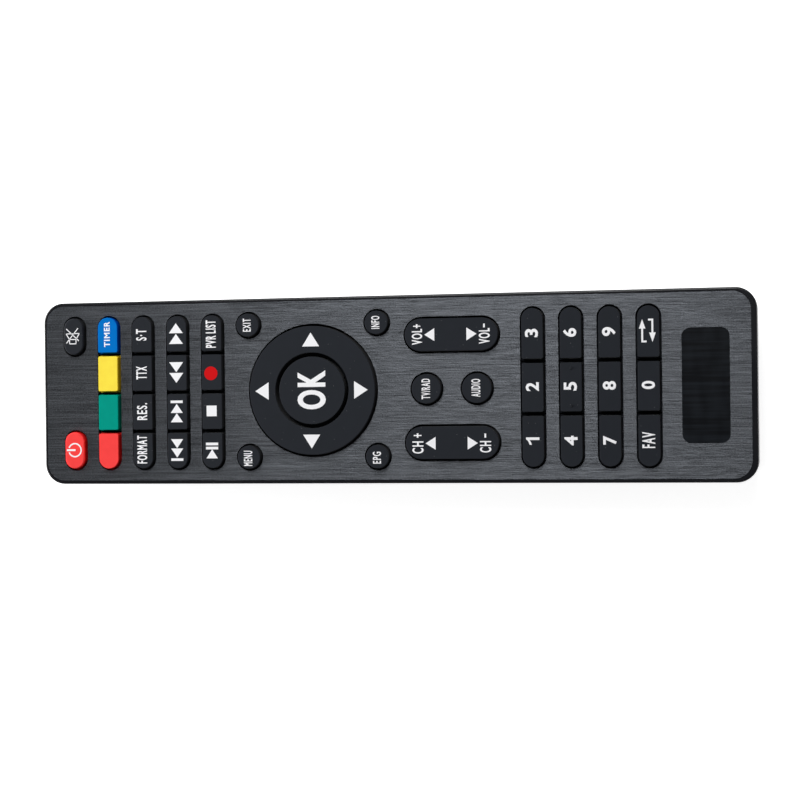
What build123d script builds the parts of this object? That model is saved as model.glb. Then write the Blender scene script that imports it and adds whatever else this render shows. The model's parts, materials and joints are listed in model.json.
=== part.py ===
from build123d import *
import os
from math import atan, degrees, radians, sin, sqrt, tan

# Hand-held remote control. X runs across it, Y towards its infrared end, Z up from the table.
# Every length is in millimetres and every angle in degrees.

# Body
body_length = 185.8
body_width = 48.2
body_corner = 5.5
face_height = 20.0
parting_height = 13.6
front_draft = 1.5
rear_draft = 5.0
rim_round = 0.5
back_round = 4.0
wall = 1.8
lip_height = 1.2
lip_thickness = 0.8
fit = 0.1

# Face plate and label
plate_thickness = 0.5
plate_side_margin = 1.1
plate_corner = 4.6
plate_top_margin = 0.95
plate_low_margin = 1.7
label_width = 28.4
label_length = 11.6
label_corner = 2.2
label_thickness = 0.2
label_end_margin = 12.7

# Layers under the plate
web_thickness = 1.5
flange_thickness = 0.8
key_travel = 1.0
board_top = 14.6
board_thickness = 1.2
mat_thickness = 0.8
dome_height = 0.5
contact_gap = 0.02

# Keys
key_rise = 1.1
key_width = 5.3
key_draft = 1.5
key_edge_round = 0.1
end_key_edge_round = 0.35
key_corner = 0.4
key_clearance = 0.48
key_gap = 1.0
flange_gap = 0.4
flange_reach = 0.85
row_side_margin = 4.3
end_key_length = 9.6
first_row_margin = 8.95
digit_gap = 1.1
middle_digit_length = 12.15
small_round = 5.95
small_round_inset = 2.75
large_round = 7.45
tactile_bump_radius = 0.35
tactile_bump_rise = 0.25
tactile_bump_spacing = 9.4
tactile_bump_slope = 20.0

# Places and steps along the face, as shares of the body length from its middle
row_step_share = 0.05113
ring_share = 0.10334
small_round_share = 0.0915
rocker_share = -0.09204
large_round_shares = (-0.05705, -0.12648)
first_digit_share = -0.20264
digit_step_share = 0.05156
peg_shares = (0.1604, -0.1701)
hook_shares = (0.366, 0.0, -0.312)
ledge_shares = (0.4306, 0.296, 0.1615, 0.043, -0.0646, -0.242, -0.377)

# Domes of the silicone mat and the plungers that pass through them
plunger_radius = 1.5
dome_bore_gap = 0.2
dome_rim = 0.6
dome_foot = 0.7
dome_slope = 50.0

# Direction ring and OK key
ring_radius = 16.5
ring_hole = 9.7
ring_opening_gap = 0.62
ring_tilt = 2.0
ring_underside = 17.0
ring_pad_radius = 13.3
pivot_height = 16.6
pivot_half_height = 0.7
socket_radius = 8.6
collar_thickness = 0.9
ball_wall = 1.2
ok_radius = 8.65
ok_cap_thickness = 2.2
ok_stem_bottom = 17.0

# Rockers
rocker_length = 23.75
rocker_width = 8.2
rocker_inset = 6.15
rocker_end_gap = 0.55
rocker_tilt = 4.0
rocker_pad_offset = 8.0
rocker_bore_gap = 0.4
fulcrum_radius = 1.0
fulcrum_length = 6.0
cradle_wall = 1.0
ear_width = 2.4
ear_reach = 0.9

# Edges of the board and the mat
board_end_gap = 4.2
board_side_gap = 0.3
board_low_margin = 14.4
mat_low_margin = 6.6
board_corner = 3.2
clamp_reach = 1.1
peg_radius = 0.9
peg_inset = 2.0
hook_width = 4.0
hook_thickness = 0.8
hook_drop = 3.2
hook_nib = 0.5
hook_nib_height = 1.0
hook_room = 0.2
ledge_reach = 2.5
ledge_thickness = 1.2
ledge_low = 7.0

# Infrared end
window_width = 16.0
window_bottom = 10.6
window_top = 17.0
window_flange = 1.2
window_flange_thickness = 1.0
led_radius = 2.5
led_rim_radius = 2.9
led_rim_thickness = 1.0
led_length = 8.6
led_tip_gap = 0.3
lead_size = 0.5
lead_pitch = 2.54
lead_overlap = 1.6
lead_end_room = 0.2
led_back_room = 0.6
led_side_room = 2.0

# Batteries and their bay
cell_radius = 5.25
cell_length = 44.5
cell_button_radius = 1.9
cell_button_length = 0.9
cell_round = 0.4
cell_spacing = 0.4
cell_floor_gap = 0.3
cell_room = 0.5
contact_thickness = 0.4
contact_width = 8.0
contact_height = 8.4
contact_bump = 0.7
contact_bump_radius = 1.6
contact_tail = 2.0
tail_room = 0.2
contact_bump_slope = 15.0
spring_room = 4.2
spring_wire = 0.6
spring_large = 3.4
spring_small = 2.3
spring_turns = 3.5
spring_sides = 6
bay_end_margin = 13.9
bay_wall = 1.2
bay_ceiling_gap = 0.1
bay_rib_width = 1.2
bay_rib_drop = 2.2

# Battery door
door_width = 30.0
door_overreach = 3.8
door_thickness = 1.6
door_gap = 0.15
door_end_height = 5.0
tray_thickness = 1.2
tray_margin = 2.4
tray_end_margin = 5.5
rail_reach = 0.9
rail_thickness = 0.6
rail_height = 0.9
rail_end_gap = 0.4
grip_length = 9.0
grip_width = 18.0
grip_depth = 0.6
grip_margin = 8.5
grip_ribs = 5
grip_rib_width = 0.6
grip_rib_height = 0.45

# Screws
screw_x = 10.0
screw_end_margin = 9.3
screw_radius = 1.3
screw_head_radius = 2.4
screw_head_height = 1.6
screw_head_depth = 0.4
screw_slot = 0.7
boss_radius = 3.3
boss_joint_height = 8.0
screw_length = 9.0

# Parts under the board
chip_length = 10.4
chip_width = 7.5
chip_height = 2.3
chip_standoff = 0.2
chip_leads = 8
chip_lead_pitch = 1.27
chip_lead_width = 0.45
chip_lead_reach = 1.3
chip_margin = 36.8
underside_gap = 2.7
resonator_length = 7.5
resonator_width = 3.2
resonator_height = 5.0
resonator_corner = 1.0
capacitor_radius = 2.5
capacitor_length = 11.0
capacitor_round = 0.4
resistor_length = 2.0
resistor_width = 1.25
resistor_height = 0.55
resistor_columns = 4
resistor_rows = 2
resistor_pitch = 3.75

# Heights and places that follow from the sizes above
web_underside = face_height - plate_thickness - web_thickness
key_top = face_height + key_rise
mat_top = board_top + mat_thickness
board_underside = board_top - board_thickness
flange_underside = web_underside - flange_thickness
half_length = body_length / 2
half_width = body_width / 2
inner_half_width = half_width - wall
plate_width = body_width - 2 * plate_side_margin
plate_high_y = half_length - plate_top_margin
plate_low_y = -half_length + plate_low_margin
plate_length = plate_high_y - plate_low_y
plate_y = (plate_high_y + plate_low_y) / 2
label_y = -half_length + label_end_margin
row_length = body_width - 2 * row_side_margin
row_pitch = row_step_share * body_length
first_row_y = half_length - first_row_margin
ring_y = ring_share * body_length
rocker_x = row_length / 2 - rocker_inset
rocker_y = rocker_share * body_length
small_round_x = row_length / 2 - small_round_inset
small_round_offset = small_round_share * body_length
key_spread = (key_top - web_underside) * tan(radians(key_draft))
opening_extra = 2 * (key_clearance + key_spread)
rocker_travel = (rocker_pad_offset + plunger_radius) * sin(radians(rocker_tilt))
ring_travel = (ring_pad_radius + 2 * plunger_radius) * sin(radians(ring_tilt))
ball_radius = socket_radius - collar_thickness - 2 * fit
led_tip_y = half_length - wall - window_flange_thickness - led_tip_gap - fit
led_back_y = led_tip_y - led_length
notch_y = led_back_y - led_back_room
notch_width = 2 * (led_rim_radius + led_side_room)
lead_end_y = notch_y - lead_overlap
mat_notch_y = lead_end_y - lead_end_room
cell_x = cell_radius + cell_spacing / 2
cell_axis = door_thickness + cell_floor_gap + cell_radius
bay_length = 2 * contact_thickness + contact_bump + cell_length + spring_room
bay_low_y = -half_length + bay_end_margin
bay_top_y = bay_low_y + bay_length
bay_half_width = 2 * cell_radius + cell_spacing / 2 + cell_room
bay_ceiling = cell_axis + cell_radius + bay_ceiling_gap
spring_cone = degrees(atan((spring_large - spring_small) / (spring_room - spring_wire - fit)))
tray_bottom = door_thickness + door_gap
tray_end_y = -half_length + tray_end_margin
door_top_y = bay_top_y + door_overreach
grip_y = door_top_y - grip_margin
screw_y = -half_length + screw_end_margin

row_ys = [first_row_y - row_pitch * n for n in range(1, 5)]
digit_ys = [(first_digit_share - digit_step_share * n) * body_length for n in range(4)]
end_key_x = (row_length - end_key_length) / 2
small_round_places = [
    (small_round_x * side, ring_y + small_round_offset * way) for way in (1, -1) for side in (1, -1)
]
large_round_places = [(0, share * body_length) for share in large_round_shares]

os.makedirs("parts", exist_ok=True)


def save(piece, name):
    """Label a finished piece and write it under its own name."""
    piece.part.label = name
    export_step(piece.part, f"parts/{name}.step")


def body_block(inset, height, upwards=True, edge_round=0):
    """Solid that follows the outside of the body at an inset, from the parting to a height."""
    start = Plane.XY.offset(parting_height)
    if not upwards:
        start = Plane(origin=(0, 0, parting_height), x_dir=(1, 0, 0), z_dir=(0, 0, -1))
    with BuildPart() as block:
        with BuildSketch(start):
            RectangleRounded(
                body_width - 2 * inset, body_length - 2 * inset, max(body_corner - inset, 1)
            )
        extrude(amount=abs(height - parting_height), taper=front_draft if upwards else rear_draft)
        if edge_round:
            far_face = block.faces().sort_by(Axis.Z)[-1 if upwards else 0]
            fillet(far_face.edges(), edge_round)
    return block.part


def box(x_size, y_size, z_size, centre, z_from):
    """Plain block on its centre in plan, standing on one height, for use in several pieces."""
    with BuildPart() as block:
        with BuildSketch(Plane.XY.offset(z_from)):
            with Locations(centre):
                Rectangle(x_size, y_size)
        extrude(amount=z_size)
    return block.part


def row_share(y, x_from, x_to, length, width, corner=0, place="middle"):
    """Outline of one key in a row: its share of the slot-shaped outline of the whole row."""
    with BuildSketch() as outline:
        with Locations((0, y)):
            SlotOverall(length, width)
        with Locations(((x_from + x_to) / 2, y)):
            Rectangle(x_to - x_from, 2 * width, mode=Mode.INTERSECT)
        if corner:
            corners = outline.vertices().sort_by(Axis.X)
            if place == "first":
                corners = corners[-2:]
            elif place == "last":
                corners = corners[:2]
            fillet(corners, corner)
    return outline.sketch


def draw_face_openings():
    """Draw every key opening of the face into the open sketch."""
    with Locations(*[(0, y) for y in row_ys + digit_ys]):
        SlotOverall(row_length + opening_extra, key_width + opening_extra)
    with Locations((end_key_x, first_row_y), (-end_key_x, first_row_y)):
        SlotOverall(end_key_length + opening_extra, key_width + opening_extra)
    with Locations(*small_round_places):
        Circle((small_round + opening_extra) / 2)
    with Locations(*large_round_places):
        Circle((large_round + opening_extra) / 2)
    with Locations((0, ring_y)):
        Circle(ring_radius + ring_opening_gap)
    with Locations((rocker_x, rocker_y), (-rocker_x, rocker_y)):
        SlotOverall(rocker_length + 2 * rocker_end_gap, rocker_width + opening_extra, rotation=90)


def draw_pads(places, radius):
    """Draw one circle on each of the places into the open sketch."""
    with Locations(*places):
        Circle(radius)


def make_key(name, cap, flange, pad, bumps=(), edge_round=key_edge_round):
    """Key cap with its flange under the face and its plunger over the board, saved by name."""
    with BuildPart() as key:
        with BuildSketch(Plane.XY.offset(web_underside)):
            add(cap)
            offset(amount=key_spread, kind=Kind.INTERSECTION)
        extrude(amount=key_top - web_underside, taper=key_draft)
        fillet(key.faces().sort_by(Axis.Z)[-1].edges(), edge_round)
        with BuildSketch(Plane.XY.offset(flange_underside)):
            add(flange)
        extrude(amount=flange_thickness)
        with BuildSketch(Plane.XY.offset(board_top + key_travel + contact_gap)):
            draw_pads([pad], plunger_radius)
        extrude(amount=flange_underside - board_top - key_travel - contact_gap)
        if bumps:
            with BuildSketch(Plane.XY.offset(key_top)):
                draw_pads(bumps, tactile_bump_radius)
            extrude(amount=tactile_bump_rise, taper=tactile_bump_slope)
    save(key, name)


def make_row(y, names, edges, gap):
    """Keys that share one slot, from left to right, with their edges measured along the row."""
    spread = (gap - flange_gap) / 2
    reach = row_length / 2 + flange_reach
    places = ["first"] + ["middle"] * (len(names) - 2) + ["last"]
    for name, (x_from, x_to), place in zip(names, edges, places):
        flange_from = -reach if place == "first" else x_from - spread
        flange_to = reach if place == "last" else x_to + spread
        cap = row_share(y, x_from, x_to, row_length, key_width, key_corner, place)
        flange = row_share(y, flange_from, flange_to, 2 * reach, key_width + 2 * flange_reach)
        middle = (x_from + x_to) / 2
        bumps = ()
        if name == "digit_5_key":
            bumps = [(middle + side * tactile_bump_spacing / 2, y) for side in (-1, 1)]
        make_key(name, cap, flange, (middle, y), bumps)
        pad_places.append((middle, y))


pad_places = []

# Keys in rows of four
quarter = (row_length - 3 * key_gap) / 4
four_edges = [
    (n * (quarter + key_gap) - row_length / 2, n * (quarter + key_gap) + quarter - row_length / 2)
    for n in range(4)
]
four_names = (
    ("red_key", "green_key", "yellow_key", "timer_key"),
    ("format_key", "resolution_key", "teletext_key", "subtitle_key"),
    ("previous_key", "next_key", "rewind_key", "fast_forward_key"),
    ("play_pause_key", "stop_key", "record_key", "recordings_key"),
)
for row_y, names in zip(row_ys, four_names):
    make_row(row_y, names, four_edges, key_gap)

# Number keys in rows of three
half_middle = middle_digit_length / 2
three_edges = [
    (-row_length / 2, -half_middle - digit_gap),
    (-half_middle, half_middle),
    (half_middle + digit_gap, row_length / 2),
]
three_names = (
    ("digit_1_key", "digit_2_key", "digit_3_key"),
    ("digit_4_key", "digit_5_key", "digit_6_key"),
    ("digit_7_key", "digit_8_key", "digit_9_key"),
    ("favourites_key", "digit_0_key", "recall_key"),
)
for row_y, names in zip(digit_ys, three_names):
    make_row(row_y, names, three_edges, digit_gap)

# Mute and power keys
for name, side in (("mute_key", 1), ("power_key", -1)):
    place = (side * end_key_x, first_row_y)
    with BuildSketch() as cap:
        with Locations(place):
            SlotOverall(end_key_length, key_width)
    with BuildSketch() as flange:
        with Locations(place):
            SlotOverall(end_key_length + 2 * flange_reach, key_width + 2 * flange_reach)
    make_key(name, cap.sketch, flange.sketch, place, edge_round=end_key_edge_round)
    pad_places.append(place)

# Round keys
round_keys = [
    ("exit_key", small_round, small_round_places[0]),
    ("menu_key", small_round, small_round_places[1]),
    ("info_key", small_round, small_round_places[2]),
    ("guide_key", small_round, small_round_places[3]),
    ("tv_radio_key", large_round, large_round_places[0]),
    ("audio_key", large_round, large_round_places[1]),
]
for name, diameter, place in round_keys:
    with BuildSketch() as cap:
        draw_pads([place], diameter / 2)
    with BuildSketch() as flange:
        draw_pads([place], diameter / 2 + flange_reach)
    make_key(name, cap.sketch, flange.sketch, place)
    pad_places.append(place)

# Direction ring: it rocks on a ball-shaped collar, so its inner rim is hollowed to a sphere
ring_pads = [
    (ring_pad_radius * x, ring_y + ring_pad_radius * y)
    for x, y in ((1, 0), (-1, 0), (0, 1), (0, -1))
]
ring_spread = (key_top - ring_underside) * tan(radians(key_draft))
ring_section = Plane(origin=(0, ring_y, 0), x_dir=(1, 0, 0), z_dir=(0, -1, 0))
ring_axis = Axis((0, ring_y, 0), (0, 0, 1))
rim_low = pivot_height - pivot_half_height
rim_high = pivot_height + pivot_half_height


def zone_radius(radius, height):
    """Radius of a sphere about the pivot where a level plane at this height cuts it."""
    return sqrt(radius**2 - (height - pivot_height) ** 2)


with BuildPart() as ring:
    with BuildSketch(ring_section):
        with BuildLine():
            Polyline(
                (zone_radius(socket_radius, rim_high), rim_high),
                (ring_hole, rim_high),
                (ring_hole, key_top),
                (ring_radius, key_top),
                (ring_radius + ring_spread, ring_underside),
                (ring_hole + 1, ring_underside),
                (ring_hole, rim_low),
                (zone_radius(socket_radius, rim_low), rim_low),
            )
            ThreePointArc(
                (zone_radius(socket_radius, rim_low), rim_low),
                (socket_radius, pivot_height),
                (zone_radius(socket_radius, rim_high), rim_high),
            )
        make_face()
    revolve(axis=ring_axis)
    fillet(ring.faces().sort_by(Axis.Z)[-1].edges(), key_edge_round)
    with BuildSketch(Plane.XY.offset(board_top + ring_travel + contact_gap)):
        draw_pads(ring_pads, plunger_radius)
    extrude(amount=ring_underside - board_top - ring_travel - contact_gap)
save(ring, "direction_ring")

collar_low = rim_low + fit / 2
collar_high = rim_high - fit / 2
collar_outer = socket_radius - fit
collar_inner = collar_outer - collar_thickness
with BuildPart() as collar:
    with BuildSketch(ring_section):
        with BuildLine():
            ThreePointArc(
                (zone_radius(collar_outer, collar_low), collar_low),
                (collar_outer, pivot_height),
                (zone_radius(collar_outer, collar_high), collar_high),
            )
            Line(
                (zone_radius(collar_outer, collar_high), collar_high),
                (zone_radius(collar_inner, collar_high), collar_high),
            )
            ThreePointArc(
                (zone_radius(collar_inner, collar_high), collar_high),
                (collar_inner, pivot_height),
                (zone_radius(collar_inner, collar_low), collar_low),
            )
            Line(
                (zone_radius(collar_inner, collar_low), collar_low),
                (zone_radius(collar_outer, collar_low), collar_low),
            )
        make_face()
    revolve(axis=ring_axis)
save(collar, "ring_collar")

# OK key: its stem is guided in the bore of the ball that the ring rocks on
ball_bore = ball_radius - ball_wall
with BuildPart() as ok_key:
    with BuildSketch(Plane.XY.offset(key_top - ok_cap_thickness)):
        draw_pads([(0, ring_y)], ok_radius + ok_cap_thickness * tan(radians(key_draft)))
    extrude(amount=ok_cap_thickness, taper=key_draft)
    fillet(ok_key.faces().sort_by(Axis.Z)[-1].edges(), key_edge_round)
    with BuildSketch(Plane.XY.offset(ok_stem_bottom)):
        draw_pads([(0, ring_y)], ball_bore - 2 * fit)
    extrude(amount=key_top - ok_cap_thickness - ok_stem_bottom)
    with BuildSketch(Plane.XY.offset(board_top + key_travel + contact_gap)):
        draw_pads([(0, ring_y)], plunger_radius)
    extrude(amount=ok_stem_bottom - board_top - key_travel - contact_gap)
save(ok_key, "ok_key")
pad_places.append((0, ring_y))

# Rockers: each rocks about the round rib under its middle
rocker_spread = (key_top - flange_underside) * tan(radians(key_draft))
rocker_pads = []
for name, side in (("volume_rocker", 1), ("channel_rocker", -1)):
    x = side * rocker_x
    pads = [(x, rocker_y + rocker_pad_offset), (x, rocker_y - rocker_pad_offset)]
    ear_top = web_underside - fit
    with BuildPart() as rocker:
        with BuildSketch(Plane.XY.offset(flange_underside)):
            with Locations((x, rocker_y)):
                SlotOverall(
                    rocker_length + 2 * rocker_spread,
                    rocker_width + 2 * rocker_spread,
                    rotation=90,
                )
        extrude(amount=key_top - flange_underside, taper=key_draft)
        fillet(rocker.faces().sort_by(Axis.Z)[-1].edges(), key_edge_round)
        with BuildSketch(Plane.XY.offset(flange_underside)):
            with Locations((x, rocker_y)):
                Rectangle(rocker_width + 2 * (key_clearance + ear_reach), ear_width)
        extrude(amount=ear_top - flange_underside)
        with BuildSketch(Plane.YZ.offset(x - fulcrum_length / 2)):
            with Locations((rocker_y, pivot_height)):
                Circle(fulcrum_radius)
            with Locations((rocker_y, (pivot_height + flange_underside) / 2)):
                Rectangle(2 * fulcrum_radius, flange_underside - pivot_height)
        extrude(amount=fulcrum_length)
        with BuildSketch(Plane.XY.offset(board_top + rocker_travel + contact_gap)):
            draw_pads(pads, plunger_radius)
        extrude(amount=flange_underside - board_top - rocker_travel - contact_gap)
    save(rocker, name)
    rocker_pads += pads

# Silicone mat: a sheet on the board with a dome foot round every plunger
peg_x = inner_half_width - peg_inset
peg_places = [(side * peg_x, share * body_length) for side in (1, -1) for share in peg_shares]
hook_ys = [share * body_length for share in hook_shares]
hook_places = [(side * inner_half_width, y) for side in (1, -1) for y in hook_ys]
board_high_y = half_length - board_end_gap
board_low_y = -half_length + board_low_margin
mat_low_y = digit_ys[-1] - mat_low_margin
board_half_width = inner_half_width - board_side_gap
dome_bore = plunger_radius + dome_bore_gap
rocker_bore = plunger_radius + rocker_bore_gap


def draw_layer(low_y, notch_low_y):
    """Draw the outline that the mat and the board share, with its notch, peg and hook gaps."""
    length = board_high_y - low_y
    with Locations((0, (board_high_y + low_y) / 2)):
        RectangleRounded(2 * board_half_width, length, board_corner)
    with Locations((0, (board_high_y + notch_low_y) / 2)):
        Rectangle(notch_width, board_high_y - notch_low_y, mode=Mode.SUBTRACT)
    with Locations(*peg_places):
        Circle(peg_radius + fit, mode=Mode.SUBTRACT)
    with Locations(*hook_places):
        Rectangle(
            2 * (hook_thickness + hook_room), hook_width + 2 * hook_room, mode=Mode.SUBTRACT
        )


with BuildPart() as mat:
    with BuildSketch(Plane.XY.offset(board_top)):
        draw_layer(mat_low_y, mat_notch_y)
    extrude(amount=mat_thickness)
    with BuildSketch(Plane.XY.offset(mat_top)):
        draw_pads(pad_places, dome_bore + dome_rim + dome_foot)
        draw_pads(ring_pads + rocker_pads, rocker_bore + dome_rim + dome_foot)
    extrude(amount=dome_height, taper=dome_slope)
    for x in (rocker_x, -rocker_x):
        with BuildSketch(Plane.YZ.offset(x - fulcrum_length / 2)):
            with Locations((rocker_y, (mat_top + pivot_height - 2 * fit) / 2)):
                Rectangle(
                    2 * (fulcrum_radius + fit + cradle_wall), pivot_height - 2 * fit - mat_top
                )
            with Locations((rocker_y, pivot_height)):
                Circle(fulcrum_radius + fit, mode=Mode.SUBTRACT)
        extrude(amount=fulcrum_length)
    with BuildSketch(ring_section):
        with BuildLine():
            Polyline(
                (zone_radius(ball_radius, rim_high - fit), rim_high - fit),
                (ball_bore, rim_high - fit),
                (ball_bore, mat_top),
                (zone_radius(ball_radius, mat_top), mat_top),
            )
            ThreePointArc(
                (zone_radius(ball_radius, mat_top), mat_top),
                (ball_radius, pivot_height),
                (zone_radius(ball_radius, rim_high - fit), rim_high - fit),
            )
        make_face()
    revolve(axis=ring_axis)
    with BuildSketch(Plane.XY.offset(board_top)):
        draw_pads(pad_places, dome_bore)
        draw_pads(ring_pads + rocker_pads, rocker_bore)
    extrude(amount=mat_thickness + dome_height, mode=Mode.SUBTRACT)
save(mat, "keypad_mat")

# Circuit board and the parts on its underside, set out from the battery bay
chip_y = bay_top_y + chip_margin
resonator_y = chip_y - chip_length / 2 - underside_gap - resonator_width / 2
resistor_half = ((resistor_rows - 1) * resistor_pitch + resistor_width) / 2
resistor_y = chip_y + chip_length / 2 + underside_gap + resistor_half
capacitor_y = resistor_y + resistor_half + underside_gap + capacitor_length / 2
with BuildPart() as board:
    with BuildSketch(Plane.XY.offset(board_underside)):
        draw_layer(board_low_y, notch_y)
    extrude(amount=board_thickness)
save(board, "circuit_board")

chip_bottom = board_underside - chip_standoff - chip_height
with BuildPart() as chip:
    with BuildSketch(Plane.XY.offset(chip_bottom)):
        with Locations((0, chip_y)):
            Rectangle(chip_width, chip_length)
    extrude(amount=chip_height)
    for side in (1, -1):
        with BuildSketch(Plane.XY.offset(board_underside)):
            with Locations((side * (chip_width + chip_lead_reach) / 2, chip_y)):
                with GridLocations(0, chip_lead_pitch, 1, chip_leads):
                    Rectangle(chip_lead_reach, chip_lead_width)
        extrude(amount=-(chip_standoff + chip_height / 2))
save(chip, "controller_chip")

with BuildPart() as resonator:
    with BuildSketch(Plane.XY.offset(board_underside)):
        with Locations((0, resonator_y)):
            RectangleRounded(resonator_length, resonator_width, resonator_corner)
    extrude(amount=-resonator_height)
save(resonator, "ceramic_resonator")

with BuildPart() as capacitor:
    with BuildSketch(Plane.XZ.offset(-capacitor_y - capacitor_length / 2)):
        with Locations((0, board_underside - capacitor_radius)):
            Circle(capacitor_radius)
    extrude(amount=capacitor_length)
    fillet(capacitor.edges().filter_by(GeomType.CIRCLE), capacitor_round)
save(capacitor, "supply_capacitor")

with BuildPart() as resistors:
    with BuildSketch(Plane.XY.offset(board_underside)):
        with Locations((0, resistor_y)):
            with GridLocations(
                2 * resistor_length, resistor_pitch, resistor_columns, resistor_rows
            ):
                Rectangle(resistor_length, resistor_width)
    extrude(amount=-resistor_height)
save(resistors, "chip_resistors")

# Infrared diode lying in the notch of the board, its leads flat on the board
led_axis = board_top + lead_size / 2
with BuildPart() as led:
    with BuildSketch(Plane.YZ):
        with BuildLine():
            Polyline(
                (led_tip_y - led_radius, led_axis + led_radius),
                (led_back_y + led_rim_thickness, led_axis + led_radius),
                (led_back_y + led_rim_thickness, led_axis + led_rim_radius),
                (led_back_y, led_axis + led_rim_radius),
                (led_back_y, led_axis),
                (led_tip_y, led_axis),
            )
            RadiusArc(
                (led_tip_y - led_radius, led_axis + led_radius), (led_tip_y, led_axis), led_radius
            )
        make_face()
    revolve(axis=Axis((0, led_back_y, led_axis), (0, 1, 0)))
    with BuildSketch(Plane.XY.offset(board_top)):
        with Locations((0, (led_back_y + lead_end_y) / 2)):
            with GridLocations(lead_pitch, 0, 2, 1):
                Rectangle(lead_size, led_back_y - lead_end_y)
    extrude(amount=lead_size)
save(led, "infrared_led")

# Solids that follow the outside of the body
front_outer = body_block(0, face_height, edge_round=rim_round)
front_middle = body_block(wall, mat_top)
front_inner = body_block(wall + clamp_reach, web_underside)
rear_outer = body_block(0, 0, False, back_round)
rear_inner = body_block(wall, wall, False, back_round - wall)
door_inner = body_block(door_thickness, door_thickness, False, back_round - door_thickness)
window_height = window_top - window_bottom
window_hole = box(window_width, 2 * wall, window_height, (0, half_length), window_bottom)
flange_y = half_length - wall - fit - window_flange_thickness / 2
flange_low = window_bottom - window_flange
flange_high = min(window_top + window_flange, web_underside)
window_pocket = box(
    window_width + 2 * window_flange + 2 * fit,
    window_flange_thickness + 2 * fit,
    flange_high - flange_low + fit,
    (0, flange_y),
    flange_low - fit,
)

with BuildPart() as window:
    add(front_outer)
    add(rear_outer)
    add(
        box(
            window_width - 2 * fit,
            2 * wall,
            window_height - 2 * fit,
            (0, half_length),
            window_bottom + fit,
        ),
        mode=Mode.INTERSECT,
    )
    add(
        box(
            window_width + 2 * window_flange,
            window_flange_thickness,
            flange_high - flange_low,
            (0, flange_y),
            flange_low,
        )
    )
    add(
        box(
            window_width - 2 * fit,
            2 * fit,
            window_height - 2 * fit,
            (0, half_length - wall),
            window_bottom + fit,
        )
    )
save(window, "infrared_window")

# Front shell: rim and face, open to the back, with pegs, screw bosses and snap hooks inside
screw_places = [(screw_x, screw_y), (-screw_x, screw_y)]
lip_inset = wall - lip_thickness
with BuildPart() as front_shell:
    add(front_outer)
    add(front_middle, mode=Mode.SUBTRACT)
    add(front_inner, mode=Mode.SUBTRACT)
    add(body_block(lip_inset - fit, parting_height + lip_height + fit), mode=Mode.SUBTRACT)
    with BuildSketch(Plane.XY.offset(face_height - plate_thickness)):
        with Locations((0, plate_y)):
            RectangleRounded(plate_width + fit, plate_length + fit, plate_corner)
    extrude(amount=plate_thickness, mode=Mode.SUBTRACT)
    with BuildSketch(Plane.XY.offset(web_underside)):
        draw_face_openings()
    extrude(amount=web_thickness, mode=Mode.SUBTRACT)
    add(window_hole, mode=Mode.SUBTRACT)
    add(window_pocket, mode=Mode.SUBTRACT)
    with BuildSketch(Plane.XY.offset(web_underside)):
        draw_pads(screw_places, boss_radius - 2 * fit)
    extrude(amount=boss_joint_height - web_underside)
    with BuildSketch(Plane.XY.offset(boss_joint_height)):
        draw_pads(screw_places, screw_radius + fit / 2)
    extrude(amount=screw_length, mode=Mode.SUBTRACT)
    with BuildSketch(Plane.XY.offset(web_underside)):
        draw_pads(peg_places, peg_radius)
    extrude(amount=board_underside - web_underside)
    hook_bottom = parting_height - hook_drop
    for side in (1, -1):
        outer_x = inner_half_width - fit
        for y in hook_ys:
            with BuildSketch(Plane.XZ.offset(-y)):
                with BuildLine():
                    Polyline(
                        (side * outer_x, mat_top),
                        (side * outer_x, hook_bottom + hook_nib_height),
                        (side * (outer_x + hook_nib), hook_bottom + hook_nib_height),
                        (side * outer_x, hook_bottom),
                        (side * (outer_x - hook_thickness), hook_bottom),
                        (side * (outer_x - hook_thickness), mat_top),
                        close=True,
                    )
                make_face()
            extrude(amount=hook_width / 2, both=True)
save(front_shell, "front_shell")

with BuildPart() as face_plate:
    with BuildSketch(Plane.XY.offset(face_height - plate_thickness)):
        with Locations((0, plate_y)):
            RectangleRounded(plate_width, plate_length, plate_corner)
        with BuildSketch(mode=Mode.SUBTRACT):
            draw_face_openings()
    extrude(amount=plate_thickness)
    with BuildSketch(Plane.XY.offset(face_height - label_thickness)):
        with Locations((0, label_y)):
            RectangleRounded(label_width + fit / 2, label_length + fit / 2, label_corner)
    extrude(amount=label_thickness, mode=Mode.SUBTRACT)
save(face_plate, "face_plate")

with BuildPart() as label:
    with BuildSketch(Plane.XY.offset(face_height - label_thickness)):
        with Locations((0, label_y)):
            RectangleRounded(label_width, label_length, label_corner)
    extrude(amount=label_thickness)
save(label, "label_inlay")

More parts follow.
